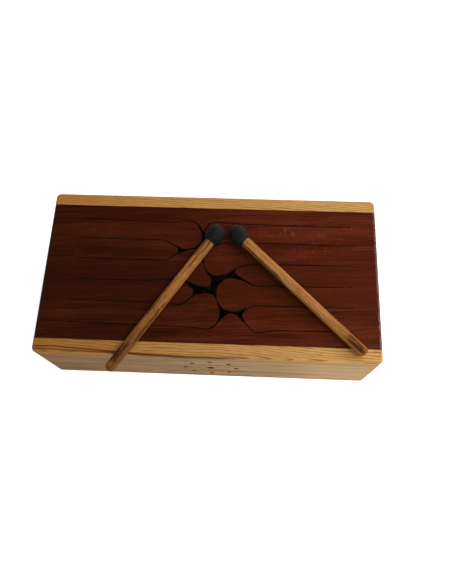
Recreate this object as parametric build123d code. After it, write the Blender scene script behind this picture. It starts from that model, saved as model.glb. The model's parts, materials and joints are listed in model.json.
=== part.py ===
from build123d import *
import os
from math import asin, cos, radians, sin

# Wooden tongue drum: a closed box whose top board is sawn into ten tongues, with two rubber-headed
# mallets lying on it. Millimetres, +Z up. The origin is the middle of the underside that it rests on,
# +X runs along the drum and -Y is the front, with the sound holes.

# Box
LENGTH = 460.0
WIDTH = 236.8
HEIGHT = 122.8
SIDE_BOARD = 19.0  # front and back boards, full height
END_BOARD = 19.0  # left and right boards, between the side boards
TOP_BOARD = 12.7
BOTTOM_BOARD = 9.5
CORNER_R = 7.0  # upright corners
TOP_EDGE_R = 4.0
BOTTOM_EDGE_R = 6.5
LINING_WIDTH = 11.0
LINING_HEIGHT = 14.0

# Sound holes: one in the middle of a ring of eight, through the front board
RING_X = 4.5
RING_Z = 61.0
RING_R = 35.5
RING_HOLES = 8
RING_HOLE_R = 3.0
MIDDLE_HOLE_R = 5.0

# Saw cuts through the top board
KERF = 0.9
LEFT_ROOT = -188.0  # where the left tongues bend
RIGHT_ROOT = 193.0
ROOT_GAP = 0.1  # parts a tongue from the board it is really one with
LEFT_ROOT_Y = [78.0, 48.2, 17.2, -13.6, -44.5, -75.5]
RIGHT_ROOT_Y = [74.5, 46.5, 16.0, -15.0, -44.5, -77.0]

# Centre lines of the cuts, back to front. Each list starts at the root and holds the bends that the
# tongues on both sides of the cut share, as (x, y, bend radius).
LEFT_CUTS = [
    [(-52.0, 76.2, 20), (-41.0, 79.4, 16), (-23.0, 78.6, 17)],
    [(-66.0, 48.0, 30)],
    [(-60.0, 17.3, 18)],
    [(-80.0, -13.4, 60), (-60.0, -10.8, 40)],
    [(-62.0, -44.2, 60), (-50.0, -46.5, 30), (-37.0, -48.0, 14)],
    [(-20.0, -77.6, 60), (0.0, -80.5, 14)],
]
RIGHT_CUTS = [
    [(40.0, 76.0, 60), (-5.0, 78.8, 14)],
    [(70.0, 47.0, 60), (46.0, 45.8, 60), (15.0, 46.2, 18)],
    [(60.0, 14.4, 40), (40.0, 11.0, 25)],
    [(61.0, -17.0, 16)],
    [(66.0, -44.9, 40), (50.0, -49.6, 14)],
    [(90.0, -78.6, 60), (63.0, -83.0, 12)],
]

# Each tongue's free end, from its back cut round to its front cut
LEFT_TIPS = [
    [(-12.8, 57.0, 20), (-15.0, 39.2, 13), (-38.0, 33.6, 16)],
    [(-46.1, 37.2, 6), (-46.1, 29.8, 5)],
    [
        (-46.0, 29.0, 40), (-26.0, 35.6, 30), (-10.9, 36.5, 8), (-10.5, 8.2, 40),
        (3.0, -7.9, 12), (1.0, -20.8, 4), (-14.0, -19.5, 20), (-38.0, -10.8, 40),
    ],
    [(-34.0, -12.5, 25), (-20.4, -25.0, 8), (-21.0, -32.5, 6)],
    [(-19.0, -32.5, 30), (-1.0, -28.0, 16), (8.5, -32.0, 10), (17.0, -56.0, 25), (13.0, -72.0, 16)],
]
RIGHT_TIPS = [
    [(-11.2, 60.0, 16), (-8.6, 35.6, 8)],
    [(-9.0, 34.0, 14), (-9.6, 4.4, 20), (6.0, -4.2, 14), (22.0, -1.4, 25)],
    [(33.4, 5.6, 3), (34.0, 0.4, 6)],
    [
        (45.0, -9.0, 30), (24.0, -4.5, 18), (9.4, -19.0, 16),
        (10.5, -40.0, 20), (21.0, -52.6, 16), (36.0, -55.2, 16),
    ],
    [(44.6, -60.0, 8), (52.0, -72.0, 20)],
]

# The top board's own edge between the tongue ends: a wedge at the back and a bump at the front
BACK_WEDGE = [(-11.9, 60.0, 2)]
FRONT_BUMP = [(50.0, -70.0, 20), (31.0, -49.5, 14), (14.0, -70.0, 8), (9.0, -76.0, 14)]

# Mallets. Along a mallet, 0 is the head's widest circle and the stick runs towards +.
HEAD_R = 12.7
HEAD_NECK_R = 8.2
HEAD_NECK = 14.0  # where the stick comes out of the head
HEAD_DOME = -13.0
STICK_R = 7.0
STICK_LENGTH = 232.5
STICK_END_R = 5.5
GLUE_GAP = 0.05
MALLET_GAP = 0.08  # under the head and the stick
LEFT_HEAD = (6.1, 52.3)
LEFT_HEADING = -123.95  # degrees from +X, from the head towards the stick's tail
RIGHT_HEAD = (37.4, 52.6)
RIGHT_HEADING = -43.6

INSIDE_X = LENGTH / 2 - END_BOARD
INSIDE_Y = WIDTH / 2 - SIDE_BOARD
TOP_UNDERSIDE = HEIGHT - TOP_BOARD


def block(x, y, z):
    """A square-edged block between pairs of x, y and z."""
    (x0, x1), (y0, y1), (z0, z1) = x, y, z
    middle = Pos((x0 + x1) / 2, (y0 + y1) / 2, (z0 + z1) / 2)
    return middle * Box(x1 - x0, y1 - y0, z1 - z0)


def rounded_envelope():
    """The whole box as one solid, with its outer edges rounded, for cutting the boards from."""
    box = block((-LENGTH / 2, LENGTH / 2), (-WIDTH / 2, WIDTH / 2), (0, HEIGHT))
    box = fillet(box.edges().filter_by(Axis.Z), CORNER_R)
    box = fillet(box.edges().group_by(Axis.Z)[-1], TOP_EDGE_R)
    return fillet(box.edges().group_by(Axis.Z)[0], BOTTOM_EDGE_R)


def front_side_board(envelope):
    board = envelope & block((-LENGTH, LENGTH), (-WIDTH, -INSIDE_Y), (0, HEIGHT))
    middle = Pos(RING_X, -WIDTH / 2, RING_Z) * Rot(90, 0, 0)
    ring = PolarLocations(RING_R, RING_HOLES)
    holes = [Cylinder(MIDDLE_HOLE_R, 4 * SIDE_BOARD)]
    holes += [place * Cylinder(RING_HOLE_R, 4 * SIDE_BOARD) for place in ring]
    return board - [middle * hole for hole in holes]


def back_side_board(envelope):
    return envelope & block((-LENGTH, LENGTH), (INSIDE_Y, WIDTH), (0, HEIGHT))


def bottom_board(envelope):
    return envelope & block((-LENGTH, LENGTH), (-INSIDE_Y, INSIDE_Y), (0, BOTTOM_BOARD))


def end_board(side):
    """side is -1 for the left board and 1 for the right one."""
    x = sorted([side * INSIDE_X, side * LENGTH / 2])
    return block(x, (-INSIDE_Y, INSIDE_Y), (BOTTOM_BOARD, TOP_UNDERSIDE))


def lining(side):
    """The glue strip under the top board's long edge: side is -1 at the front and 1 at the back."""
    y = sorted([side * INSIDE_Y, side * (INSIDE_Y - LINING_WIDTH)])
    return block((-INSIDE_X, INSIDE_X), y, (TOP_UNDERSIDE - LINING_HEIGHT, TOP_UNDERSIDE))


def bent_outline(points):
    """The flat face inside straight lines through (x, y, bend radius) points."""
    corners = [(x, y) for x, y, _ in points]
    radii = [r for _, _, r in points]
    return make_face(FilletPolyline(*corners, radius=radii, close=True))


def top_slab(outline):
    """A flat outline made as thick as the top board, with its upper face flush with the drum's top."""
    return extrude(Pos(0, 0, TOP_UNDERSIDE) * outline, TOP_BOARD)


def soundboard(envelope):
    """The top board round the tongues, up to the outer side of the cuts."""
    left = [[(LEFT_ROOT, y, 0)] + cut for y, cut in zip(LEFT_ROOT_Y, LEFT_CUTS)]
    right = [[(RIGHT_ROOT, y, 0)] + cut for y, cut in zip(RIGHT_ROOT_Y, RIGHT_CUTS)]
    back_edge = left[0] + BACK_WEDGE + right[0][::-1]
    front_edge = right[-1] + FRONT_BUMP + left[-1][::-1]
    opening = offset(bent_outline(back_edge + front_edge), KERF / 2)
    board = envelope & block((-LENGTH, LENGTH), (-INSIDE_Y, INSIDE_Y), (TOP_UNDERSIDE, HEIGHT))
    return board - top_slab(opening)


def tongue(root_x, root_ys, cuts, tips, row):
    """One tongue, half a saw cut inside the centre lines round it and just clear of its root."""
    outward = -1 if root_x < 0 else 1
    x = root_x + outward * (KERF - ROOT_GAP)
    back = [(x, root_ys[row], 0)] + cuts[row]
    front = [(x, root_ys[row + 1], 0)] + cuts[row + 1]
    outline = bent_outline(back + tips[row] + front[::-1])
    return top_slab(offset(outline, -KERF / 2))


def mallet_place(head, heading, rest):
    """Where a mallet lies: on its head and on the point of its stick that is rest along it."""
    tilt = asin((HEAD_R - STICK_R) / rest)
    turn = radians(heading)
    along = (cos(turn) * cos(tilt), sin(turn) * cos(tilt), -sin(tilt))
    up = (cos(turn) * sin(tilt), sin(turn) * sin(tilt), cos(tilt))
    return Plane(origin=(*head, HEIGHT + HEAD_R + MALLET_GAP), x_dir=along, z_dir=up)


def mallet_stick():
    """A dowel along X with a rounded tail."""
    corners = [(0, 0), (0, STICK_R), (STICK_LENGTH, STICK_R), (STICK_LENGTH, 0)]
    outline = FilletPolyline(*corners, radius=[0, 0, STICK_END_R, 0], close=True)
    return revolve(make_face(outline), Axis.X)


def mallet_head():
    """A rubber bulb, blunt at the front, with a blind hole for the stick."""
    bore = STICK_R + GLUE_GAP
    seat = -GLUE_GAP
    skin = Spline(
        (HEAD_NECK, HEAD_NECK_R), (8.0, 11.0), (0, HEAD_R), (-7.0, 11.6), (-11.7, 7.6), (HEAD_DOME, 0),
        tangents=[(-1.0, 0.7), (0, -1.0)],
    )
    hole = Polyline((HEAD_DOME, 0), (seat, 0), (seat, bore), (HEAD_NECK, bore), (HEAD_NECK, HEAD_NECK_R))
    return revolve(make_face(skin + hole), Axis.X)


def front_edge_along_left_mallet():
    """How far along the left mallet its stick meets the start of the front edge's rounding."""
    flat_edge = -(WIDTH / 2 - TOP_EDGE_R)
    return (flat_edge - LEFT_HEAD[1]) / sin(radians(LEFT_HEADING))


def build():
    envelope = rounded_envelope()
    parts = {
        "front_side_board": front_side_board(envelope),
        "back_side_board": back_side_board(envelope),
        "bottom_board": bottom_board(envelope),
        "soundboard": soundboard(envelope),
        "left_end_board": end_board(-1),
        "right_end_board": end_board(1),
        "front_lining": lining(-1),
        "back_lining": lining(1),
    }
    for row in range(len(LEFT_TIPS)):
        parts[f"left_tongue_{row + 1}"] = tongue(LEFT_ROOT, LEFT_ROOT_Y, LEFT_CUTS, LEFT_TIPS, row)
        parts[f"right_tongue_{row + 1}"] = tongue(RIGHT_ROOT, RIGHT_ROOT_Y, RIGHT_CUTS, RIGHT_TIPS, row)
    places = {
        "left": mallet_place(LEFT_HEAD, LEFT_HEADING, front_edge_along_left_mallet()),
        "right": mallet_place(RIGHT_HEAD, RIGHT_HEADING, STICK_LENGTH - STICK_END_R),
    }
    for side, place in places.items():
        parts[f"{side}_mallet_stick"] = place * mallet_stick()
        parts[f"{side}_mallet_head"] = place * mallet_head()
    return parts


os.makedirs("parts", exist_ok=True)
for node, shape in build().items():
    export_step(shape, f"parts/{node}.step")
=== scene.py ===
import json
import math
from itertools import groupby

import bmesh
import bpy
import numpy as np
from mathutils import Matrix, Quaternion, Vector, noise


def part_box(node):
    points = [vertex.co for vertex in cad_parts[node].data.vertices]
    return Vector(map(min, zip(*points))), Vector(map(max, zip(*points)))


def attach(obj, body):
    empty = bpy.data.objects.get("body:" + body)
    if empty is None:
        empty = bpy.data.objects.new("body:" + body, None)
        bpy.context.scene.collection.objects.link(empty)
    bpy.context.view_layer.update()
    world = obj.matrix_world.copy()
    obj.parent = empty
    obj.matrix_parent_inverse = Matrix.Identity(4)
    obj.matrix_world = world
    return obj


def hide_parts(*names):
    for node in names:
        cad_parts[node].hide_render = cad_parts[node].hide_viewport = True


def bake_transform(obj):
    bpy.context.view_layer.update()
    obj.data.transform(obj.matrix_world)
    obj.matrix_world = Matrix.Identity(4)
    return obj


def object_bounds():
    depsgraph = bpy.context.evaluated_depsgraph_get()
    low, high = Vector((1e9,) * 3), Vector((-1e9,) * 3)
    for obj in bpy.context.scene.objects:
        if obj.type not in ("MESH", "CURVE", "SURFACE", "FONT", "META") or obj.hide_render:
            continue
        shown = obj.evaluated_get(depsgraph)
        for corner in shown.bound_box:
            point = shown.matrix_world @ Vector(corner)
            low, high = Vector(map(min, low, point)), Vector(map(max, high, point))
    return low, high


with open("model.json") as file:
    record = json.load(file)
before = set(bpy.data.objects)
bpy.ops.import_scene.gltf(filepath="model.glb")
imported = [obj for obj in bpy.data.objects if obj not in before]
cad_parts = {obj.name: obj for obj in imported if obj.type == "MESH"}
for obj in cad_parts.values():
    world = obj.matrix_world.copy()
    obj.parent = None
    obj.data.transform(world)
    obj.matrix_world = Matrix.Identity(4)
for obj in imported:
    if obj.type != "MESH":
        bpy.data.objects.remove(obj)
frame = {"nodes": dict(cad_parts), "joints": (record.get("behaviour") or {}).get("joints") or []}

# A wooden tongue drum with two rubber-headed mallets lying on it. Everything is in metres, in the frame
# of the CAD model: +Z up, +X along the drum, -Y the front.

CAD_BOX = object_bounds()
MM = 0.001

DRUM_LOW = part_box("front_side_board")[0]
DRUM_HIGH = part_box("back_side_board")[1]
TOP_LOW, TOP_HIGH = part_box("soundboard")

# The tongues, from the back, and the places where they bend
HINGES = {joint["child"]: joint["pos_m"][0] for joint in frame["joints"] if "tongue" in joint["child"]}
LEFT_TONGUES = sorted(node for node in HINGES if node.startswith("left"))
RIGHT_TONGUES = sorted(node for node in HINGES if node.startswith("right"))
LEFT_ROOT = HINGES[LEFT_TONGUES[0]]
RIGHT_ROOT = HINGES[RIGHT_TONGUES[0]]

# The box's outer edges, as in the CAD model
CORNER_R = 7 * MM
TOP_EDGE_R = 4 * MM
BOTTOM_EDGE_R = 6.5 * MM
CORNER_STEPS = 10
EDGE_STEPS = 8

# Saw cuts
RIM_R = 0.3 * MM  # the cuts' upper edges are sanded round
RIM_STEPS = 5
SLOT_END_STEPS = 8
OUTLINE_STEP = 2.6 * MM
STUB = 3 * MM  # of each tongue stays with the board, past the end of its slots

# Sound holes in the front board
RING_MIDDLE = Vector((4.5 * MM, DRUM_LOW.y, 61 * MM))
RING_R = 35.5 * MM
RING_HOLES = 8
RING_HOLE_R = 3 * MM
MIDDLE_HOLE_R = 5 * MM
HOLE_CHAMFER = 0.5 * MM
HOLE_SIDES = 40

# Mallets, with x along the stick from the head's widest circle
HEAD_SKIN = [(x * MM, r * MM) for x, r in
             [(-13, 0), (-12.8, 4.6), (-11.3, 8.5), (-6.5, 11.7), (0, 12.7), (8, 11), (13.3, 8.2)]]
HEAD_STEPS = 6
NECK_R = 8.2 * MM
NECK_END = 14 * MM
LIP_R = 0.7 * MM
LIP_STEPS = 4
GLUE_GAP = 0.05 * MM
STICK_END_R = 5.5 * MM
STICK_STEPS = 90
STICK_UNEVENNESS = 0.012
HEAD_UNEVENNESS = 0.03
LATHE_SIDES = 64
BUMPS_ALONG = 60  # how many bumps there are in a metre along a turned piece
BUMPS_ROUND = 1.3  # and in a radian round it

# How near counts as the same
CLOSE = 0.02 * MM  # points of the saw cuts' outline
SAME_PLACE = 0.01 * MM  # coordinates read from the CAD meshes
TOUCHING = 0.001 * MM  # vertices that belong together
ON_PLANE = 0.0001 * MM  # vertices that lie on a cutting plane
SLIVER = 0.001 * MM  # faces thinner than this are taken out
SAME_DECIMALS = 7  # decimals of a metre that tell the CAD's vertices apart

SHARP_DEGREES = 35  # edges sharper than this stay sharp
LEVEL = 0.99999  # faces whose normal has a part above this are square to an axis
UPWARD = 0.97  # faces whose normal's z is above this belong to the board's top, not to a cut's wall

# Colours
DEEP_RED = (0.034, 0.0046, 0.0022, 1)
WARM_RED = (0.135, 0.0255, 0.0085, 1)
DULL_BROWN = (0.042, 0.009, 0.0045, 1)
# pale colour of the dust specks, and also of the painted highlight on the top's right end
DUST_AND_HIGHLIGHT = (0.35, 0.28, 0.24, 1)
ASH_GOLD = (0.46, 0.2, 0.045, 1)
ASH_PALE = (0.61, 0.355, 0.115, 1)
ASH_GRAIN = (0.27, 0.11, 0.028, 1)
# a painted reflection of the pale floor on the front board's outer face
FLOOR_REFLECTION_PALE = (0.58, 0.38, 0.2, 1)
STREAK_BROWN = (0.13, 0.036, 0.01, 1)
HONEY_DARK = (0.17, 0.056, 0.014, 1)
HONEY_LIGHT = (0.56, 0.24, 0.055, 1)
# the pale streaks of painted light on the right stick
PAINTED_LIGHT_HONEY = (0.78, 0.42, 0.16, 1)
CHAR_BROWN = (0.058, 0.02, 0.007, 1)
SAWN_DARK = (0.008, 0.007, 0.004, 1)
SAWN_RED = (0.022, 0.011, 0.007, 1)
HOLE_DARK = (0.08, 0.03, 0.01, 1)
HOLE_BROWN = (0.24, 0.095, 0.035, 1)
RUBBER_DARK = (0.0024, 0.0036, 0.0026, 1)
RUBBER_BLOOM = (0.0085, 0.0105, 0.0078, 1)
RUBBER_SCUFF = (0.02, 0.021, 0.018, 1)
# the bottom and linings' board, darkened as painted shade for the inside of the box
PANEL_PALE = (0.36, 0.22, 0.11, 1)
PANEL_GRAIN = (0.2, 0.105, 0.045, 1)
FLOOR_WHITE = (0.86, 0.86, 0.86, 1)
WHITE = (1, 1, 1, 1)

# Grain and figure. In the materials, lengths and places are in millimetres.
TOP_Z = TOP_HIGH.z / MM
TOP_Y = TOP_HIGH.y / MM
FRONT_Y = DRUM_LOW.y / MM
END_X = DRUM_HIGH.x / MM
GRAIN_SLOPE = -0.05  # the top's grain runs slightly backwards towards the right
RAIL_SLOPE = 0.05  # and the side boards' grain slightly forwards
JOINT_YS = [-43.0, 15.5]  # where the top's planks meet
PLANK_SHIFT = 700.0  # how far along the wood's pattern each plank is from the one before it
FRONT_PITH = (-42, 22)  # the middles of the trees that the boards came from: y and z
BACK_PITH = (42, 96)
PANEL_PITH = (10, -160)
FRONT_RING_WIDTH = 1.8
BACK_RING_WIDTH = 2.9
PANEL_RING_WIDTH = 4.2

# Light and dark areas of the top: x, y, how far they reach each way, and how much lighter they are
TOP_PATCHES = [
    (-90, -14, 130, 30, -0.16),
    (-130, 59, 115, 14, 0.38),
    (-218, 34, 30, 15, 0.35),
    (-200, -64, 45, 20, 0.28),
    (150, 74, 85, 24, 0.28),
    (180, -80, 55, 16, 0.55),
    # a painted highlight on the tongue beside the mallet heads
    (18, 28, 22, 15, 0.5),
]
# Where the top has its bright flecks and its dust: x, y and how far they reach each way
FLECK_PLACES = [(105, 66, 55, 9), (132, 38, 30, 11)]
DUST_PLACES = [(-165, 60, 40, 30), (205, -58, 16, 8), (200, 75, 20, 15)]
DUST_SPACING = 12
# The thin painted highlight on the top's rounded right end, from its left side to its right
HIGHLIGHT_FROM = END_X - 4.4
HIGHLIGHT_TO = END_X - 1.2
# Brown streaks on the front board: y at its left end, how far y drifts, and half the streak's width
RAIL_STREAKS = [(-110, -7.2, 1.8), (-113.4, -5, 1.4)]

# Each stick's tail tone, its pale streaks, which are painted light and a painted highlight line, and its
# dark streaks.
# A streak is its start and end along the stick, its angle round the stick from the top and its width, in
# degrees, and its strength.
STICKS = {
    "left": (
        -0.35,
        [],
        [
            (10, 34, 22, 12, 1.0), (32, 60, 9, 12, 0.7), (56, 90, -2, 10, 0.4),
            (10, 42, -34, 20, 0.8), (10, 70, 0, 120, 0.12), (120, 186, 52, 24, 0.85),
            (118, 146, -34, 24, 0.7), (132, 196, 15, 90, 0.3), (190, 219, 8, 17, 1.2),
            (194, 220, -36, 26, 1.1), (203, 219, -14, 20, 1.1), (188, 232, 45, 70, 0.3),
            (204, 234, 30, 80, 0.4), (14, 128, 68, 60, 0.3),
        ],
    ),
    "right": (
        -0.15,
        # painted light on the right stick, and a thin painted highlight line along its lower-left side
        [(10, 112, -45, 40, 0.4), (118, 200, -20, 40, 0.12), (16, 190, -40, 8, 0.5)],
        [
            (10, 85, -52, 14, 0.9), (10, 90, -75, 20, 0.6), (10, 60, 50, 20, 0.4),
            (200, 228, 14, 13, 1.1), (204, 230, -28, 14, 1.3), (213, 230, -8, 16, 1.1),
            (202, 245, 0, 190, 0.35),
        ],
    ),
}

# The studio
FLOOR_R = 14
FLOOR_SIDES = 96
FLOOR_GAP = 0.2 * MM
FLOOR_ROUGHNESS = 0.9
FLOOR_GLOW = 0.85
HORIZON_LIGHT = 0.8
ZENITH_LIGHT = 0.02
FADE_HEIGHT = 0.55  # how far up the sky has darkened, from 0 at the horizon to 1 overhead
LIGHT_TARGET = Vector((0, 0, 0.1))
LIGHTS = [  # name, place, size, power and colour
    ("back_window", (0.8, 1.15, 1.0), (0.8, 0.5), 12.5, (1.0, 0.98, 0.95)),
    ("right_window", (1.1, -0.1, 0.7), (0.8, 0.6), 3.5, (1.0, 0.97, 0.93)),
    ("overhead_panel", (0.8, -0.1, 1.25), (0.6, 0.5), 6.5, (1.0, 0.99, 0.97)),
    ("front_fill", (-0.2, -1.0, 1.4), (1.8, 1.0), 7, (0.98, 0.99, 1.0)),
]

CAMERA_PLACE = Vector((48.9, -273.6, 812.6)) * MM
CAMERA_TARGET = Vector((23.3, -26.9, 123.0)) * MM
CAMERA_ROLL = -3.76  # degrees
CAMERA_LENS = 33.41
CAMERA_SENSOR = 36


# ---------------------------------------------------------------- meshes


def finish_piece(piece, material, body, slot, node):
    """Gives a piece its material and body, and hides the CAD node that it stands for."""
    piece.data.materials.append(material)
    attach(piece, body)
    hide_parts(node)


def object_from_bmesh(name, bm):
    """A new object in the scene with the bmesh's shape. The bmesh is used up."""
    mesh = bpy.data.meshes.new(name)
    bmesh.ops.recalc_face_normals(bm, faces=bm.faces)
    bm.to_mesh(mesh)
    bm.free()
    piece = bpy.data.objects.new(name, mesh)
    bpy.context.scene.collection.objects.link(piece)
    return piece


def shade(piece):
    """Smooth shading that keeps sharp edges, with the faces square to an axis left flat."""
    mesh = piece.data
    mesh.shade_smooth()
    mesh.set_sharp_from_angle(angle=math.radians(SHARP_DEGREES))
    for face in mesh.polygons:
        if max(abs(part) for part in face.normal) > LEVEL:
            face.use_smooth = False


def bridge(bm, lower, upper):
    """Quads between two closed rings of vertices."""
    count = len(lower)
    for i in range(count):
        j = (i + 1) % count
        bm.faces.new((lower[i], lower[j], upper[j], upper[i]))


def ring(bm, points, z):
    """Vertices at a height z, one for each (x, y)."""
    return [bm.verts.new((x, y, z)) for x, y in points]


def rounded_rectangle(half_x, half_y, radius):
    """Points round a rectangle about the origin, anticlockwise."""
    points = []
    for quarter, (sx, sy) in enumerate([(1, 1), (-1, 1), (-1, -1), (1, -1)]):
        for step in range(CORNER_STEPS + 1):
            turn = math.radians(90) * (quarter + step / CORNER_STEPS)
            x = sx * (half_x - radius) + radius * math.cos(turn)
            y = sy * (half_y - radius) + radius * math.sin(turn)
            points.append((x, y))
    return points


def quarter_turns(steps):
    """Angles from 0 to a quarter turn."""
    return [math.radians(90) * step / steps for step in range(steps + 1)]


def envelope():
    """The whole box as one solid with its outer edges rounded, for carving boards from."""
    half_x, half_y, top = DRUM_HIGH
    levels = []
    for turn in quarter_turns(EDGE_STEPS):
        levels.append((BOTTOM_EDGE_R * (1 - math.sin(turn)), BOTTOM_EDGE_R * (1 - math.cos(turn))))
    for turn in quarter_turns(EDGE_STEPS):
        levels.append((TOP_EDGE_R * (1 - math.cos(turn)), top - TOP_EDGE_R * (1 - math.sin(turn))))
    bm = bmesh.new()
    rings = []
    for inset, z in levels:
        rings.append(ring(bm, rounded_rectangle(half_x - inset, half_y - inset, CORNER_R - inset), z))
    for lower, upper in zip(rings, rings[1:]):
        bridge(bm, lower, upper)
    bm.faces.new(rings[0][::-1])
    bm.faces.new(rings[-1])
    return bm


def cut_at(bm, place, normal, drop_outside=False):
    """Cuts the faces along a plane, and can drop what lies outside it."""
    everything = bm.verts[:] + bm.edges[:] + bm.faces[:]
    bmesh.ops.bisect_plane(
        bm, geom=everything, dist=ON_PLANE, plane_co=place, plane_no=normal, clear_outer=drop_outside
    )


def close_holes(bm):
    """Fills each hole in a mesh with a face."""
    bmesh.ops.holes_fill(bm, edges=[e for e in bm.edges if e.is_boundary], sides=0)


def board_from_envelope(name):
    """The part of the rounded box that fills a CAD node's box."""
    low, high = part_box(name)
    bm = envelope()
    for axis in range(3):
        for corner, sign in ((low, -1), (high, 1)):
            outer = DRUM_LOW if sign < 0 else DRUM_HIGH
            if abs(corner[axis] - outer[axis]) < SAME_PLACE:
                continue
            normal = Vector((0, 0, 0))
            normal[axis] = sign
            cut_at(bm, corner, normal, drop_outside=True)
            close_holes(bm)
    return object_from_bmesh(f"{name}_piece", bm)


def drill_profile(radius):
    """Points (radius, depth from the front face) of a drill that chamfers both ends of its hole."""
    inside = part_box("front_side_board")[1].y - DRUM_LOW.y
    wide = radius + 2 * HOLE_CHAMFER
    return [
        (wide, -HOLE_CHAMFER), (radius, HOLE_CHAMFER),
        (radius, inside - HOLE_CHAMFER), (wide, inside + HOLE_CHAMFER),
    ]


def add_drill(bm, middle, radius):
    """Adds the solid that cuts one hole."""
    turns = [2 * math.pi * k / HOLE_SIDES for k in range(HOLE_SIDES)]
    rings = []
    for r, depth in drill_profile(radius):
        spots = [middle + Vector((r * math.cos(t), depth, r * math.sin(t))) for t in turns]
        rings.append([bm.verts.new(spot) for spot in spots])
    for one, other in zip(rings, rings[1:]):
        bridge(bm, one, other)
    bm.faces.new(rings[0])
    bm.faces.new(rings[-1])


def drill(board, places, material):
    """Cuts round holes straight through a board from its front face. places are (middle, radius), and
    material is for the holes' walls."""
    bm = bmesh.new()
    for middle, radius in places:
        add_drill(bm, middle, radius)
    cutter = object_from_bmesh("drill", bm)
    cutter.data.materials.append(material)
    cut = board.modifiers.new("holes", "BOOLEAN")
    cut.material_mode = "TRANSFER"
    cut.object = cutter
    cut.operation = "DIFFERENCE"
    cut.solver = "EXACT"
    shape = board.evaluated_get(bpy.context.evaluated_depsgraph_get())
    board.data = bpy.data.meshes.new_from_object(shape)
    board.modifiers.clear()
    bpy.data.objects.remove(cutter)


# ---------------------------------------------------------------- the sawn top board


def top_outlines(node):
    """The outlines of a CAD node's flat top as lists of (x, y), each with the wood on its left."""
    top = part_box(node)[1].z
    bm = bmesh.new()
    bm.from_mesh(frame["nodes"][node].data)
    bmesh.ops.remove_doubles(bm, verts=bm.verts, dist=TOUCHING)
    faces = {f for f in bm.faces if all(abs(v.co.z - top) < SAME_PLACE for v in f.verts)}
    following = {}
    for face in faces:
        for corner in face.loops:
            if not any(other in faces for other in corner.edge.link_faces if other is not face):
                following[corner.vert] = corner.link_loop_next.vert
    outlines = []
    while following:
        first = next(iter(following))
        outline, vert = [], first
        while vert in following:
            outline.append((vert.co.x, vert.co.y))
            vert = following.pop(vert)
        outlines.append(outline)
    bm.free()
    return outlines


def tongue_side(node, root_x):
    """A tongue's outline from one side of its root to the other, with its ends level with the slot ends."""
    outline = top_outlines(node)[0]
    far = max(abs(x) for x, _ in outline)
    at_root = [abs(abs(x) - far) < SAME_PLACE for x, _ in outline]
    count = len(outline)
    start = next(i for i in range(count) if at_root[i] and at_root[i - 1])
    run = [outline[(start + i) % count] for i in range(count)]
    return [(root_x, run[0][1])] + run[1:-1] + [(root_x, run[-1][1])]


def frame_sides(left_x, right_x):
    """The board's own edges between the slot ends: the back one, left to right, and the front one."""
    opening = min(top_outlines("soundboard"), key=lambda outline: max(x for x, _ in outline))

    def between(point):
        return left_x - CLOSE < point[0] < right_x + CLOSE

    start = next(i for i in range(len(opening)) if between(opening[i]) and not between(opening[i - 1]))
    turned = opening[start:] + opening[:start]
    runs = [list(run) for inside, run in groupby(turned, between) if inside]
    back, front = sorted(runs, key=lambda run: run[0][1], reverse=True)
    return back, front


def slot_end(before, after):
    """Points of the half circle that ends a slot, clockwise between the ends of its two sides."""
    before, after = Vector(before), Vector(after)
    middle = (before + after) / 2
    arm = before - middle
    points = []
    for step in range(1, SLOT_END_STEPS):
        turned = arm.copy()
        turned.rotate(Matrix.Rotation(-math.pi * step / SLOT_END_STEPS, 2))
        points.append(tuple(middle + turned))
    return points


def unit_tangents(outline):
    """The direction of a closed outline at each of its points."""
    sides = np.roll(outline, -1, 0) - outline
    sides /= np.linalg.norm(sides, axis=1)[:, None]
    tangents = sides + np.roll(sides, 1, 0)
    return tangents / np.linalg.norm(tangents, axis=1)[:, None]


def rounded_outline(points):
    """A closed outline with its long sides divided, and a point of its curve between each two points."""
    apart = [p for i, p in enumerate(points) if math.dist(p, points[i - 1]) > 2 * CLOSE]
    divided = []
    for a, b in zip(apart, apart[1:] + apart[:1]):
        pieces = max(1, math.ceil(math.dist(a, b) / OUTLINE_STEP))
        divided += [tuple(np.array(a) + (np.array(b) - a) * k / pieces) for k in range(pieces)]
    p = np.array(divided)
    after = np.roll(p, -1, 0)
    tangents = unit_tangents(p)
    chords = np.linalg.norm(after - p, axis=1)[:, None]
    middles = (p + after) / 2 + chords / 8 * (tangents - np.roll(tangents, -1, 0))
    return np.stack([p, middles], 1).reshape(-1, 2)


def slot_outline(left, right):
    """The single closed edge of all the saw cuts, with the wood on its left. left and right are the
    outlines of the tongues' sides."""
    back, front = frame_sides(LEFT_ROOT, RIGHT_ROOT)
    sides = [back] + right + [front] + left[::-1]
    outline = []
    for side, following in zip(sides, sides[1:] + sides[:1]):
        outline += side + slot_end(side[-1], following[0])
    return rounded_outline(outline)


def fill_flat(bm, outer, inner):
    """Triangles between two rings at one height."""
    verts = set(outer + inner)
    edges = [e for e in bm.edges if verts.issuperset(e.verts)]
    bmesh.ops.triangle_fill(bm, edges=edges, use_beauty=True, normal=(0, 0, 1))


def inset_points(outline, distance):
    """The outline moved by distance towards the wood on its left."""
    tangents = unit_tangents(outline)
    return outline + distance * np.stack([-tangents[:, 1], tangents[:, 0]], 1)


def board_rim(inset_x):
    """The top board's outer edge, anticlockwise, shortened by inset_x at each end."""
    x, y = TOP_HIGH.x - inset_x, TOP_HIGH.y
    return [(-x, -y), (0, -y), (x, -y), (x, 0), (x, y), (0, y), (-x, y), (-x, 0)]


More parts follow.
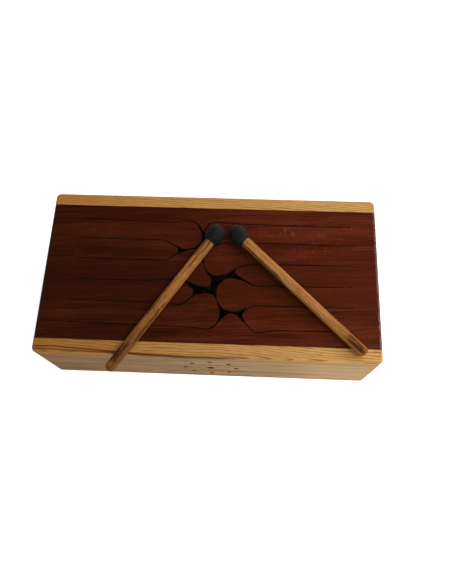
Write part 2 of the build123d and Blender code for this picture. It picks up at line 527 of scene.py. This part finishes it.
def sawn_board(cuts):
    """The top board in one piece: rounded ends, every saw cut, and a sanded rim along the cuts."""
    bottom, top = TOP_LOW.z, TOP_HIGH.z
    bm = bmesh.new()
    inner = [ring(bm, cuts, bottom)]
    for turn in quarter_turns(RIM_STEPS):
        points = inset_points(cuts, RIM_R * (1 - math.cos(turn)))
        inner.append(ring(bm, points, top - RIM_R * (1 - math.sin(turn))))
    outer = [ring(bm, board_rim(0), bottom)]
    for turn in quarter_turns(EDGE_STEPS):
        rim = board_rim(TOP_EDGE_R * (1 - math.cos(turn)))
        outer.append(ring(bm, rim, top - TOP_EDGE_R * (1 - math.sin(turn))))
    for rings in (inner, outer):
        for lower, upper in zip(rings, rings[1:]):
            bridge(bm, lower, upper)
    fill_flat(bm, outer[-1], inner[-1])
    fill_flat(bm, outer[0], inner[0])
    return bm


def part_tongues(bm, x, sides):
    """Parts the tongues from the board across their roots, just past the ends of the slots."""
    root_ys = [y for side in sides for y in (side[0][1], side[-1][1])]
    low, high = min(root_ys) - RIM_R, max(root_ys) + RIM_R
    cut_at(bm, (x, 0, 0), (1, 0, 0))
    seam = {v for v in bm.verts if abs(v.co.x - x) < TOUCHING and low < v.co.y < high}
    bmesh.ops.split_edges(bm, edges=[e for e in bm.edges if seam.issuperset(e.verts)])


def islands(bm):
    """The separate pieces of a bmesh, each as a list of its faces."""
    left = dict.fromkeys(bm.faces)
    while left:
        island = [left.popitem()[0]]
        for face in island:
            for near in [f for e in face.edges for f in e.link_faces if f in left]:
                if near in left:
                    del left[near]
                    island.append(near)
        yield island


def copy_of_island(faces):
    """A new bmesh of some faces, with its open ends closed and its thinnest slivers taken out."""
    bm = bmesh.new()
    copies = {}
    for face in faces:
        for vert in face.verts:
            if vert not in copies:
                copies[vert] = bm.verts.new(vert.co)
        bm.faces.new([copies[v] for v in face.verts])
    close_holes(bm)
    bmesh.ops.dissolve_degenerate(bm, dist=SLIVER, edges=bm.edges)
    return bm


def most_like(piece, nodes):
    """The CAD node whose box is nearest to the piece's."""
    points = np.array([v.co for v in piece.data.vertices])
    corners = Vector(points.min(0)), Vector(points.max(0))
    return min(nodes, key=lambda node: sum((a - b).length for a, b in zip(corners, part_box(node))))


def mark_cut_walls(piece):
    """Gives the walls of the saw cuts the piece's second material."""
    for face in piece.data.polygons:
        inside_x = abs(face.center.x) < TOP_HIGH.x - TOP_EDGE_R
        inside_y = abs(face.center.y) < TOP_HIGH.y - TOP_EDGE_R
        face.material_index = int(inside_x and inside_y and abs(face.normal.z) < UPWARD)


def attach_top_piece(piece, node):
    """Rides the soundboard on the drum; a tongue keeps its place, baked into its mesh."""
    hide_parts(node)
    if node == "soundboard":
        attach(piece, "drum")
        return
    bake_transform(piece)


def make_top(material, sawn_material):
    """The soundboard and the ten tongues, made as one board and parted across the tongues' roots."""
    left = [tongue_side(node, LEFT_ROOT) for node in LEFT_TONGUES]
    right = [tongue_side(node, RIGHT_ROOT) for node in RIGHT_TONGUES]
    bm = sawn_board(slot_outline(left, right))
    part_tongues(bm, LEFT_ROOT + STUB, left)
    part_tongues(bm, RIGHT_ROOT - STUB, right)
    for faces in islands(bm):
        piece = object_from_bmesh("top", copy_of_island(faces))
        node = most_like(piece, LEFT_TONGUES + RIGHT_TONGUES + ["soundboard"])
        piece.name = f"{node}_wood"
        shade(piece)
        piece.data.materials.append(material)
        piece.data.materials.append(sawn_material)
        mark_cut_walls(piece)
        attach_top_piece(piece, node)
    bm.free()


# ---------------------------------------------------------------- the mallets


def node_points(node):
    """The places of a CAD node's vertices, each once."""
    points = np.array([v.co for v in frame["nodes"][node].data.vertices])
    return np.unique(points.round(SAME_DECIMALS), axis=0)


def mallet_frame(side):
    """A mallet's own frame: X along the stick from its inner end, and Z up."""
    stick = node_points(f"{side}_mallet_stick")
    head = node_points(f"{side}_mallet_head")
    middle = stick.mean(0)
    along = np.linalg.svd(stick - middle)[2][0]
    along *= np.sign(along @ (middle - head.mean(0)))
    x_axis = Vector(along)
    z_axis = (Vector((0, 0, 1)) - x_axis * x_axis.z).normalized()
    place = Matrix((x_axis, z_axis.cross(x_axis), z_axis)).transposed().to_4x4()
    place.translation = middle + along * ((stick - middle) @ along).min()
    return place


def uneven_circle(x, radius, unevenness):
    """Points of a circle about the X axis, some of them a little nearer to it."""
    spots = []
    for k in range(LATHE_SIDES):
        turn = 2 * math.pi * k / LATHE_SIDES
        way = Vector((0, math.cos(turn), math.sin(turn)))
        bump = noise.noise(Vector((x * BUMPS_ALONG, way.y * BUMPS_ROUND, way.z * BUMPS_ROUND)))
        spots.append(Vector((x, 0, 0)) + way * radius * (1 - unevenness * (0.5 + 0.5 * bump)))
    return spots


def lathe(name, profile, unevenness):
    """A solid turned about X from (x, radius) points, the first and last on the axis. It is nowhere
    larger than its profile, and unevenness is how much smaller it may be."""
    bm = bmesh.new()
    rings = []
    for x, radius in profile[1:-1]:
        rings.append([bm.verts.new(spot) for spot in uneven_circle(x, radius, unevenness)])
    for one, other in zip(rings, rings[1:]):
        bridge(bm, one, other)
    for (x, _), edge in ((profile[0], rings[0]), (profile[-1], rings[-1])):
        tip = bm.verts.new((x, 0, 0))
        for k in range(LATHE_SIDES):
            bm.faces.new((edge[k], edge[k - 1], tip))
    piece = object_from_bmesh(name, bm)
    shade(piece)
    return piece


def smooth_line(points, steps):
    """A smooth line through points (Catmull-Rom), with steps pieces between each two."""
    p = np.array([points[0], *points, points[-1]])
    line = []
    for a, b, c, d in zip(p, p[1:], p[2:], p[3:]):
        for t in np.arange(steps) / steps:
            line.append(0.5 * (2 * b + (c - a) * t + (2 * a - 5 * b + 4 * c - d) * t**2
                               + (3 * b - a - 3 * c + d) * t**3))
    return [tuple(q) for q in line] + [tuple(points[-1])]


def stick_profile(length, radius):
    """A dowel with a square inner end and a rounded tail."""
    body = [(0, 0), (0, radius)]
    tail_x, tail_r = length - STICK_END_R, radius - STICK_END_R
    body += [(x, radius) for x in np.linspace(0, tail_x, STICK_STEPS)[1:-1]]
    for turn in quarter_turns(EDGE_STEPS):
        body.append((tail_x + STICK_END_R * math.sin(turn), tail_r + STICK_END_R * math.cos(turn)))
    return body + [(length, 0)]


def head_profile(bore):
    """A rubber bulb with a blunt dome, a rolled lip round its neck and a blind hole for the stick."""
    skin = smooth_line(HEAD_SKIN, HEAD_STEPS)
    lip_x, lip_r = NECK_END - LIP_R, NECK_R - LIP_R
    turns = quarter_turns(LIP_STEPS)[-2::-1]  # the skin has the lip's first point
    lip = [(lip_x + LIP_R * math.cos(turn), lip_r + LIP_R * math.sin(turn)) for turn in turns]
    return skin + lip + [(NECK_END, bore), (0, bore), (0, 0)]


def make_mallets(stick_materials, head_material):
    """Both mallets, each a stick glued into a head."""
    for side in ("left", "right"):
        place = mallet_frame(side)
        stick_node, head_node = f"{side}_mallet_stick", f"{side}_mallet_head"
        across = [place.inverted() @ Vector(p) for p in node_points(stick_node)]
        radius = max(math.hypot(p.y, p.z) for p in across)
        length = max(p.x for p in across)
        stick = lathe(f"{side}_mallet_dowel", stick_profile(length, radius), STICK_UNEVENNESS)
        head = lathe(f"{side}_mallet_rubber", head_profile(radius + GLUE_GAP), HEAD_UNEVENNESS)
        for piece in (stick, head):
            piece.matrix_world = place
        finish_piece(stick, stick_materials[side], f"{side}_mallet", "dowel_wood", stick_node)
        finish_piece(head, head_material, f"{side}_mallet", "head_rubber", head_node)


# ---------------------------------------------------------------- materials


class Pattern:
    """A material's node graph, with the sums that its pattern is written in. Lengths are in millimetres.
    u runs along the grain, and v and w across it."""

    def __init__(self, name, grain="x"):
        self.material = bpy.data.materials.new(name)
        self.material.use_nodes = True
        tree = self.material.node_tree
        self.nodes, self.links = tree.nodes, tree.links
        self.shader = self.nodes["Principled BSDF"]
        place = self.nodes.new("ShaderNodeTexCoord").outputs["Object"]
        scaled = self.node("ShaderNodeVectorMath", {0: place, "Scale": 1 / MM}, operation="SCALE")
        split = self.node("ShaderNodeSeparateXYZ", {0: scaled.outputs[0]})
        self.x, self.y, self.z = split.outputs
        self.u, self.v, self.w = (self.x, self.y, self.z) if grain == "x" else (self.y, self.x, self.z)

    def node(self, kind, inputs, **settings):
        """A new node, with its settings. inputs are what each socket is linked to or set to."""
        node = self.nodes.new(kind)
        for name, value in settings.items():
            setattr(node, name, value)
        for key, value in inputs.items():
            if isinstance(value, bpy.types.NodeSocket):
                self.links.new(value, node.inputs[key])
            else:
                node.inputs[key].default_value = value
        return node

    def math(self, operation, *values):
        """The result of one Math node."""
        return self.node("ShaderNodeMath", dict(enumerate(values)), operation=operation).outputs[0]

    def add(self, *values):
        """All the values added together."""
        total = values[0]
        for value in values[1:]:
            total = self.math("ADD", total, value)
        return total

    def times(self, *values):
        """All the values multiplied together."""
        total = values[0]
        for value in values[1:]:
            total = self.math("MULTIPLY", total, value)
        return total

    def step(self, value, low, high, start=0.0, end=1.0):
        """Goes smoothly from start to end as value goes from low to high."""
        node = self.node("ShaderNodeMapRange", {0: value, 1: low, 2: high, 3: start, 4: end})
        node.interpolation_type = "SMOOTHSTEP"
        return node.outputs[0]

    def mix(self, factor, one, other):
        """One colour where factor is 0, the other where it is 1."""
        return self.node("ShaderNodeMix", {0: factor, 6: one, 7: other}, data_type="RGBA").outputs[2]

    def shaded(self, colour, factor):
        """A colour made darker or lighter by a factor."""
        node = self.node("ShaderNodeVectorMath", {0: colour, "Scale": factor}, operation="SCALE")
        return node.outputs[0]

    def noise(self, size, seed=0.0, detail=2.0, warp=None):
        """Noise about 0.5 whose blobs are about size = (along, across, across) millimetres. warp is added
        to the places across the grain."""
        u, v, w = self.u, self.v, self.w
        if warp is not None:
            v, w = self.add(v, warp), self.add(w, warp)
        parts = [self.math("MULTIPLY_ADD", p, 1 / s, seed) for p, s in zip((u, v, w), size)]
        place = self.node("ShaderNodeCombineXYZ", dict(enumerate(parts))).outputs[0]
        inputs = {"Vector": place, "Scale": 1.0, "Detail": detail}
        return self.node("ShaderNodeTexNoise", inputs).outputs[0]

    def off(self, value, middle):
        """How far a value is from a middle."""
        return self.math("ABSOLUTE", self.add(value, -middle))

    def swing(self, value, amount):
        """A noise value turned into a swing about 0."""
        return self.math("MULTIPLY_ADD", value, 2 * amount, -amount)

    def patch(self, x, y, reach_x, reach_y):
        """1 at a place on the top, fading to 0 round it."""
        off_x = self.math("POWER", self.times(self.add(self.x, -x), 1 / reach_x), 2.0)
        off_y = self.math("POWER", self.times(self.add(self.y, -y), 1 / reach_y), 2.0)
        return self.math("EXPONENT", self.times(self.add(off_x, off_y), -1.0))

    def rings(self, pith, spacing, wander):
        """The place within a growth ring, from 0 to 1, for a log whose pith is at pith = (v, w)."""
        v = self.add(self.v, -pith[0])
        w = self.add(self.w, -pith[1])
        distance = self.math("SQRT", self.add(self.times(v, v), self.times(w, w)))
        slow = self.swing(self.noise((260, 70, 70), seed=3.1, detail=1.0), 2.2 * wander)
        quick = self.swing(self.noise((60, 14, 14), seed=7.7), 0.5 * wander)
        uneven = self.swing(self.noise((900, 9, 9), seed=5.3, detail=1.0), 0.6 * wander)
        return self.math("FRACT", self.times(self.add(distance, slow, quick, uneven), 1 / spacing))

    def finish(self, colour, roughness, height, depth, specular=0.0, coat=0.0, coat_roughness=0.1):
        """Feeds the shader. depth is how deep the height's bumps are, in millimetres."""
        self.links.new(colour, self.shader.inputs["Base Color"])
        self.links.new(roughness, self.shader.inputs["Roughness"])
        bump = self.node("ShaderNodeBump", {"Height": height, "Distance": depth * MM, "Strength": 1.0})
        self.links.new(bump.outputs[0], self.shader.inputs["Normal"])
        self.shader.inputs["Coat Weight"].default_value = coat
        self.shader.inputs["Coat Roughness"].default_value = coat_roughness
        self.shader.inputs["Specular IOR Level"].default_value = specular
        return self.material


def red_hardwood(name, grain="x", top=False):
    """Deep red, lacquered hardwood with short open pores. The top is glued up from three planks."""
    p = Pattern(name, grain)
    lively = change_planks(p) if top else 1.0
    slope = GRAIN_SLOPE if top else 0.0
    sway = p.add(p.swing(p.noise((110, 30, 30), seed=1.7), 3.5), p.times(p.x, slope))
    broad = p.swing(p.noise((380, 9, 9), seed=2.3, detail=1.0, warp=sway), 0.42)
    streak = p.swing(p.noise((230, 2.4, 2.4), seed=9.1, warp=sway), 0.5)
    fine = p.swing(p.noise((60, 0.9, 0.9), seed=4.6, detail=3.0, warp=sway), 0.35)
    tone = p.add(0.45, p.times(p.add(broad, streak), lively), fine)
    if top:
        tone = p.add(tone, top_figure(p))
    colour = p.mix(p.step(tone, -0.2, 1.25), DEEP_RED, WARM_RED)
    brown = p.step(p.noise((140, 5, 5), seed=6.2, detail=1.0, warp=sway), 0.55, 0.75)
    colour = p.mix(p.times(brown, 0.45, lively), colour, DULL_BROWN)
    pores = p.step(p.noise((6, 0.4, 0.4), seed=8.4, detail=1.0, warp=sway), 0.6, 0.74)
    colour = p.shaded(colour, p.step(pores, 0, 1, 1.0, 0.55))
    if top:
        colour = top_shading(p, colour)
    roughness = p.add(0.45, p.times(pores, 0.2), p.times(fine, 0.2))
    height = p.add(p.times(pores, -0.7), p.times(fine, 0.35), p.times(streak, 0.25))
    return p.finish(colour, roughness, height, 0.04, coat=0.8, coat_roughness=0.12)


def change_planks(p):
    """Shifts the grain of each plank of the top from the one before it. Returns how lively the figure is,
    which is less in the middle plank."""
    plank = p.add(*[p.step(p.y, y - 0.1, y + 0.1) for y in JOINT_YS])
    p.u = p.add(p.u, p.times(plank, PLANK_SHIFT))
    return p.step(p.off(plank, 1.0), 0, 1, 0.45, 1.15)


def top_figure(p):
    """The top board's light and dark areas, one of them a painted highlight."""
    tone = 0.0
    for x, y, reach_x, reach_y, amount in TOP_PATCHES:
        tone = p.add(tone, p.times(p.patch(x, y, reach_x, reach_y), amount))
    return tone


def top_shading(p, colour):
    """The top's colour with painted shade that darkens its left end, flecks, joint lines, dust and a
    painted highlight along its rounded right end.
    """
    joints = [p.step(p.off(p.y, y), 0.1, 0.4, 0.75, 1.0) for y in JOINT_YS]
    # painted shade: the top grows darker towards its left end, as if less light fell there
    rightward = p.step(p.x, -END_X, 130, 0.57, 1.08)
    colour = p.shaded(colour, p.times(rightward, p.add(1.0, flecks(p)), *joints))
    # the dust specks, and the painted highlight along the rounded right end
    return p.mix(p.add(p.times(dust(p), 0.35), p.times(painted_edge_highlight(p), 0.3)), colour, DUST_AND_HIGHLIGHT)


def flecks(p):
    """The short bright flecks of the cross figure in the top's right end."""
    ripple = p.step(p.noise((3.6, 9, 9), seed=11.3, warp=p.times(p.x, 0.5)), 0.48, 0.68)
    places = p.add(*[p.patch(*place) for place in FLECK_PLACES])
    return p.times(ripple, places, 0.75)


def dust(p):
    """A few pale specks on the top."""
    place = p.node("ShaderNodeCombineXYZ", {0: p.x, 1: p.y}).outputs[0]
    inputs = {"Vector": place, "Scale": 1 / DUST_SPACING}
    cells = p.node("ShaderNodeTexVoronoi", inputs, voronoi_dimensions="2D").outputs["Distance"]
    specks = p.times(p.step(cells, 0.06, 0.03), p.step(p.z, TOP_Z - 1.8, TOP_Z - 0.3))
    places = p.add(*[p.patch(*place) for place in DUST_PLACES])
    uneven = p.swing(p.noise((20, 20, 20), seed=14.9), 1.2)
    return p.times(specks, p.step(p.add(places, uneven), 0.55, 0.75))


def painted_edge_highlight(p):
    """A thin pale painted highlight along the top's rounded right end, where it catches the light."""
    line = p.times(p.step(p.x, HIGHLIGHT_FROM, HIGHLIGHT_FROM + 1), p.step(p.x, HIGHLIGHT_TO, HIGHLIGHT_TO - 1))
    return p.times(line, p.step(p.noise((9, 9, 9), seed=16.4, detail=3.0), 0.35, 0.6))


def pale_hardwood(name, pith, ring_width, front=False):
    """Pale, ring-porous hardwood: a dark line of open pores starts each growth ring."""
    p = Pattern(name)
    p.v = p.add(p.v, p.times(p.x, RAIL_SLOPE))
    growth = p.rings(pith, ring_width, wander=2.4)
    early = p.times(p.step(growth, 0.0, 0.08), p.step(growth, 0.6, 0.1))
    sway = p.swing(p.noise((120, 30, 30), seed=1.2), 1.5)
    broad = p.swing(p.noise((220, 16, 16), seed=2.9, detail=1.0), 0.4)
    fine = p.swing(p.noise((24, 1.1, 1.1), seed=4.1, detail=3.0, warp=sway), 1.3)
    dashes = p.step(p.noise((14, 0.8, 0.8), seed=8.8, detail=1.0, warp=sway), 0.5, 0.64)
    pores = p.times(dashes, p.add(0.4, early))
    # the side boards pale from gold at the left to pale at the right: partly the wood's tone, partly
    # painted light falling off to the left
    rightward = p.step(p.x, -260, 200)
    colour = p.mix(p.add(rightward, p.times(broad, 0.5)), ASH_GOLD, ASH_PALE)
    dark = p.add(p.times(early, 0.6), p.times(pores, 0.4), p.times(fine, 0.5), p.times(broad, -0.15))
    colour = p.mix(dark, colour, ASH_GRAIN)
    # painted light: the back board is lightened, most at its left end; the front board gets its painted
    # shade and highlight in front_shading
    colour = front_shading(p, colour) if front else p.shaded(colour, p.step(p.x, -260, 230, 1.18, 1.04))
    joint = p.step(p.off(p.math("ABSOLUTE", p.y), TOP_Y), 0.5, 0.15)
    colour = p.shaded(colour, p.step(joint, 0, 1, 1.0, 0.5))
    roughness = p.add(0.45, p.times(pores, 0.25), p.times(fine, 0.15))
    height = p.add(p.times(pores, -0.8), p.times(early, -0.35), p.times(fine, 0.3))
    return p.finish(colour, roughness, height, 0.06, coat=0.1, coat_roughness=0.2)


def front_shading(p, colour):
    """The front board's colour with its brown streaks, with a painted floor reflection and painted shade on
    its outer face, and a painted highlight on its right part.
    """
    colour = p.mix(rail_streaks(p), colour, STREAK_BROWN)
    below_top = p.step(p.z, TOP_Z - 1.8, TOP_Z - 5.8)
    face = p.times(below_top, p.step(p.y, FRONT_Y + 6.4, FRONT_Y + 1.4))
    # a painted reflection of the pale floor dulls the outer face, more towards the right
    colour = p.mix(p.times(face, p.step(p.x, -END_X, END_X, 0.2, 0.7)), colour, FLOOR_REFLECTION_PALE)
    # painted shade on the outer face, lighter towards the right and uneven in bands, and a painted
    # highlight over the board's right part
    bands = p.swing(p.noise((260, 8, 8), seed=12.2, detail=3.0), 0.45)
    tone = p.add(p.step(p.x, -260, 230, -0.58, -0.38), bands)
    return p.shaded(colour, p.add(p.step(p.x, 80, 170, 1.0, 1.13), p.times(face, tone)))


def rail_streaks(p):
    """Two brown streaks that run in from the left end of the front board's top edge."""
    total = 0.0
    for y, drift, thickness in RAIL_STREAKS:
        rightward = p.step(p.x, -232, -20)
        wander = p.swing(p.noise((50, 400, 400), seed=y), 1.6)
        middle = p.add(y, p.times(rightward, drift), wander)
        away = p.math("ABSOLUTE", p.math("SUBTRACT", p.y, middle))
        total = p.add(total, p.times(p.step(away, thickness, 0.2), p.step(p.x, 70, 0)))
    return p.times(total, p.step(p.z, 105, 119), 0.9)


def streaked(p, colour, streaks, streak_colour):
    """A stick's colour with one of its lists of streaks from STICKS."""
    angle = p.math("MULTIPLY", p.math("ARCTAN2", p.y, p.z), 180 / math.pi)
    for start, end, turn, width, strength in streaks:
        ragged = p.swing(p.noise((9, 3, 3), seed=start / 7), width)
        away = p.math("ABSOLUTE", p.add(angle, -turn, ragged))
        length = p.times(p.step(p.x, start - 4, start + 4), p.step(p.x, end + 6, end - 6))
        grainy = p.step(p.noise((20, 0.8, 0.8), seed=end / 9), 0.3, 0.55, 0.55, 1.0)
        amount = p.times(p.step(away, width, width / 3), length, grainy, strength)
        colour = p.mix(amount, colour, streak_colour)
    return colour


def dowel_wood(name, tail_tone, painted_light_streaks, dark_streaks):
    """A honey-brown stick with long streaks, and pale streaks of painted light. tail_tone is how much
    lighter its tail is.
    """
    p = Pattern(name)
    sway = p.swing(p.noise((60, 20, 20), seed=1.4), 1.2)
    broad = p.swing(p.noise((90, 5, 5), seed=3.6, detail=1.0, warp=sway), 0.5)
    streak = p.swing(p.noise((45, 1.3, 1.3), seed=5.2, warp=sway), 0.6)
    fine = p.swing(p.noise((14, 0.5, 0.5), seed=7.4), 0.35)
    tailward = p.step(p.x, 90, 210)
    tone = p.step(p.add(0.6, broad, streak, fine, p.times(tailward, tail_tone)), -0.1, 1.1)
    colour = p.mix(tone, HONEY_DARK, HONEY_LIGHT)
    pores = p.step(p.noise((6, 0.4, 0.4), seed=8.8, detail=1.0), 0.56, 0.7)
    colour = p.shaded(colour, p.step(pores, 0, 1, 1.0, 0.65))
    # pale streaks of painted light and painted highlight
    colour = streaked(p, colour, painted_light_streaks, PAINTED_LIGHT_HONEY)
    colour = streaked(p, colour, dark_streaks, CHAR_BROWN)
    roughness = p.add(0.45, p.times(pores, 0.2), p.times(fine, 0.2))
    height = p.add(p.times(pores, -0.7), p.times(fine, 0.4), p.times(streak, 0.2))
    return p.finish(colour, roughness, height, 0.05, coat=0.1, coat_roughness=0.3)


def head_rubber():
    """Dark, matt, slightly bloomed rubber."""
    p = Pattern("rubber")
    cloud = p.noise((7, 5, 5), seed=2.2, detail=4.0)
    grit = p.noise((0.5, 0.5, 0.5), seed=5.5)
    scuff = p.step(p.noise((3, 2, 2), seed=9.5, detail=4.0), 0.55, 0.75)
    colour = p.mix(p.step(cloud, 0.3, 0.75), RUBBER_DARK, RUBBER_BLOOM)
    colour = p.mix(p.times(scuff, 0.35), colour, RUBBER_SCUFF)
    roughness = p.add(0.6, p.times(cloud, 0.2), p.times(grit, 0.1))
    height = p.add(p.times(grit, 0.6), p.times(cloud, 0.4))
    return p.finish(colour, roughness, height, 0.15, specular=0.22)


def plain_panel(name):
    """The unlacquered brown board of the bottom and the linings, darkened as painted shade for the inside
    of the box.
    """
    p = Pattern(name)
    growth = p.rings(PANEL_PITH, PANEL_RING_WIDTH, wander=5.0)
    late = p.times(p.step(growth, 0.3, 0.9), p.step(growth, 1.0, 0.94))
    fine = p.swing(p.noise((40, 0.9, 0.9), seed=4.4), 0.5)
    colour = p.mix(p.add(p.times(late, 0.55), p.times(fine, 0.35)), PANEL_PALE, PANEL_GRAIN)
    roughness = p.add(0.62, p.times(fine, 0.15))
    return p.finish(colour, roughness, p.add(fine, p.times(late, 0.5)), 0.05, specular=0.3)


def bare_wood(name, dark, light):
    """The rough walls that a saw or a drill leaves, with no lacquer."""
    p = Pattern(name)
    rough = p.swing(p.noise((1.1, 1.1, 4), seed=3.3, detail=3.0), 0.6)
    colour = p.mix(p.add(0.45, rough), dark, light)
    return p.finish(colour, p.add(0.75, p.times(rough, 0.1)), rough, 0.06, specular=0.1)


# ---------------------------------------------------------------- the object


def make_boards():
    """Every board of the box but the top, cut from the rounded box."""
    front_wood = pale_hardwood("front_pale_wood", FRONT_PITH, FRONT_RING_WIDTH, front=True)
    back_wood = pale_hardwood("back_pale_wood", BACK_PITH, BACK_RING_WIDTH)
    end_wood = red_hardwood("end_red_wood", grain="y")
    panel = plain_panel("panel_wood")
    woods = {
        "front_side_board": ("pale_hardwood", front_wood),
        "back_side_board": ("pale_hardwood", back_wood),
        "left_end_board": ("red_hardwood", end_wood),
        "right_end_board": ("red_hardwood", end_wood),
        "bottom_board": ("pale_panel", panel),
        "front_lining": ("pale_panel", panel),
        "back_lining": ("pale_panel", panel),
    }
    for node, (slot, wood) in woods.items():
        piece = board_from_envelope(node)
        finish_piece(piece, wood, "drum", slot, node)
        if node == "front_side_board":
            drill(piece, sound_holes(), bare_wood("drilled_wood", HOLE_DARK, HOLE_BROWN))
        shade(piece)


def sound_holes():
    """(middle, radius) of the hole in the middle and the ring of eight round it."""
    holes = [(RING_MIDDLE, MIDDLE_HOLE_R)]
    for k in range(RING_HOLES):
        turn = 2 * math.pi * k / RING_HOLES
        offset = Vector((math.cos(turn), 0, math.sin(turn))) * RING_R
        holes.append((RING_MIDDLE + offset, RING_HOLE_R))
    return holes


# ---------------------------------------------------------------- the studio


def make_floor():
    """A plain white floor that glows a little, so that it shows white."""
    bm = bmesh.new()
    bmesh.ops.create_circle(bm, cap_ends=True, segments=FLOOR_SIDES, radius=FLOOR_R)
    floor = object_from_bmesh("floor", bm)
    floor.location.z = CAD_BOX[0].z - FLOOR_GAP
    material = bpy.data.materials.new("floor_white")
    material.use_nodes = True
    shader = material.node_tree.nodes["Principled BSDF"]
    shader.inputs["Base Color"].default_value = FLOOR_WHITE
    shader.inputs["Roughness"].default_value = FLOOR_ROUGHNESS
    shader.inputs["Emission Color"].default_value = WHITE
    shader.inputs["Emission Strength"].default_value = FLOOR_GLOW
    floor.data.materials.append(material)


def make_world():
    """A pale horizon that darkens overhead, so that the lacquer on top mirrors little."""
    world = bpy.data.worlds.new("studio")
    bpy.context.scene.world = world
    world.use_nodes = True
    nodes, links = world.node_tree.nodes, world.node_tree.links
    split = nodes.new("ShaderNodeSeparateXYZ")
    links.new(nodes.new("ShaderNodeTexCoord").outputs["Generated"], split.inputs[0])
    fade = nodes.new("ShaderNodeMapRange")
    fade.interpolation_type = "SMOOTHSTEP"
    for socket, value in zip(fade.inputs[1:5], (0.0, FADE_HEIGHT, HORIZON_LIGHT, ZENITH_LIGHT)):
        socket.default_value = value
    links.new(split.outputs[2], fade.inputs[0])
    links.new(fade.outputs[0], nodes["Background"].inputs["Strength"])
    nodes["Background"].inputs["Color"].default_value = WHITE


def make_light(name, place, size, power, colour):
    """A soft panel of light that faces the object."""
    data = bpy.data.lights.new(name, "AREA")
    data.shape = "RECTANGLE"
    data.size, data.size_y = size
    data.energy = power
    data.color = colour
    light = bpy.data.objects.new(name, data)
    light.location = place
    light.rotation_mode = "QUATERNION"
    light.rotation_quaternion = (LIGHT_TARGET - light.location).to_track_quat("-Z", "Y")
    bpy.context.scene.collection.objects.link(light)


def make_camera():
    """A camera where the photograph was taken from."""
    data = bpy.data.cameras.new("camera")
    data.lens = CAMERA_LENS
    data.sensor_width = CAMERA_SENSOR
    camera = bpy.data.objects.new("camera", data)
    camera.location = CAMERA_PLACE
    camera.rotation_mode = "QUATERNION"
    aim = (CAMERA_TARGET - CAMERA_PLACE).to_track_quat("-Z", "Y")
    camera.rotation_quaternion = aim @ Quaternion((0, 0, 1), math.radians(CAMERA_ROLL))
    bpy.context.scene.collection.objects.link(camera)
    bpy.context.scene.camera = camera


make_boards()
make_top(red_hardwood("top_red_wood", top=True), bare_wood("sawn_red_wood", SAWN_DARK, SAWN_RED))
stick_woods = {side: dowel_wood(f"{side}_stick_wood", *STICKS[side]) for side in STICKS}
make_mallets(stick_woods, head_rubber())

make_floor()
make_world()
for light in LIGHTS:
    make_light(*light)
make_camera()
bpy.context.scene.view_settings.view_transform = "Standard"
